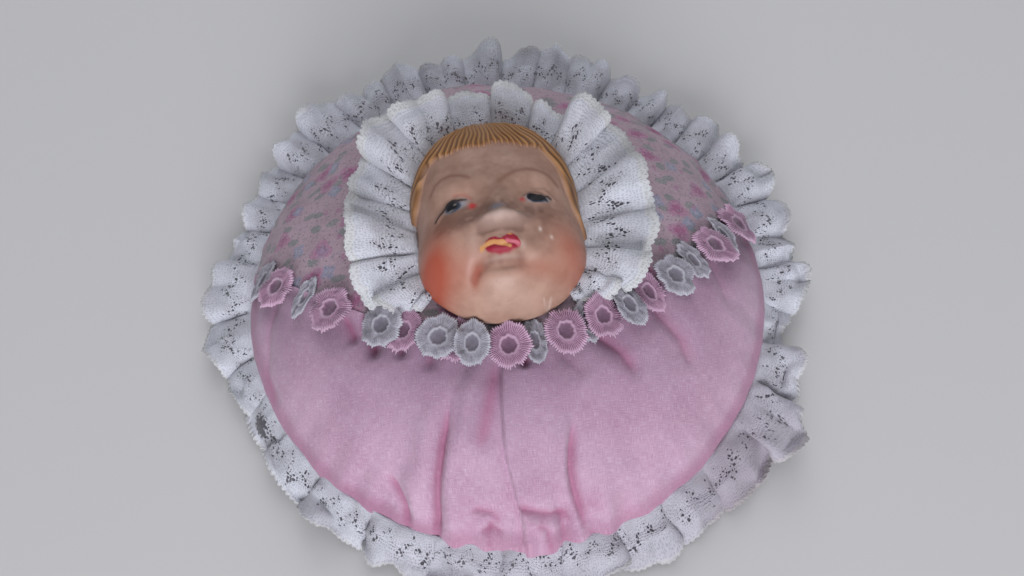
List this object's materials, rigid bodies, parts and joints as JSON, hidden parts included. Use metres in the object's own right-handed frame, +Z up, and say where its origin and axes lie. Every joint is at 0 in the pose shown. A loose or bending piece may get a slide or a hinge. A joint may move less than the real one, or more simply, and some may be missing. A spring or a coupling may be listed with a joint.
{
  "type": "pincushion doll",
  "caption": "Round stuffed cotton pincushion with a moulded doll face on its crown, a daisy trimmed blanket and gathered lace frills.",
  "frame": {"origin": "centre of the flat underside, on the surface that the pincushion lies on", "axes": "+Z up through the crown and the face, +Y from the chin towards the hair, +X to the right of the face as seen"},
  "size_m": [0.2, 0.1956, 0.0746],
  "materials": {
    "wadding": "matte",
    "back_cotton": "matte",
    "flowered_cotton": "matte",
    "pink_cotton": "matte",
    "painted_plastic": "satin",
    "lace": "matte",
    "pink_embroidery": "satin",
    "white_embroidery": "satin"
  },
  "bodies": {
    "root": {"stuffing": "wadding", "face_wadding": "wadding", "back_cover": "back_cotton", "bonnet_cover": "flowered_cotton", "blanket": "pink_cotton", "doll_face": "painted_plastic", "edge_ruffle": "lace", "face_ruffle": "lace", "pink_daisy_01": "pink_embroidery", "pink_daisy_02": "pink_embroidery", "pink_daisy_03": "pink_embroidery", "pink_daisy_04": "pink_embroidery", "pink_daisy_05": "pink_embroidery", "pink_daisy_06": "pink_embroidery", "pink_daisy_07": "pink_embroidery", "pink_daisy_08": "pink_embroidery", "pink_daisy_09": "pink_embroidery", "pink_daisy_10": "pink_embroidery", "white_daisy_01": "white_embroidery", "white_daisy_02": "white_embroidery", "white_daisy_03": "white_embroidery", "white_daisy_04": "white_embroidery", "white_daisy_05": "white_embroidery", "white_daisy_06": "white_embroidery", "white_daisy_07": "white_embroidery", "white_daisy_08": "white_embroidery", "white_daisy_09": "white_embroidery", "white_daisy_10": "white_embroidery", "white_daisy_11": "white_embroidery"}
  },
  "joints": []
}
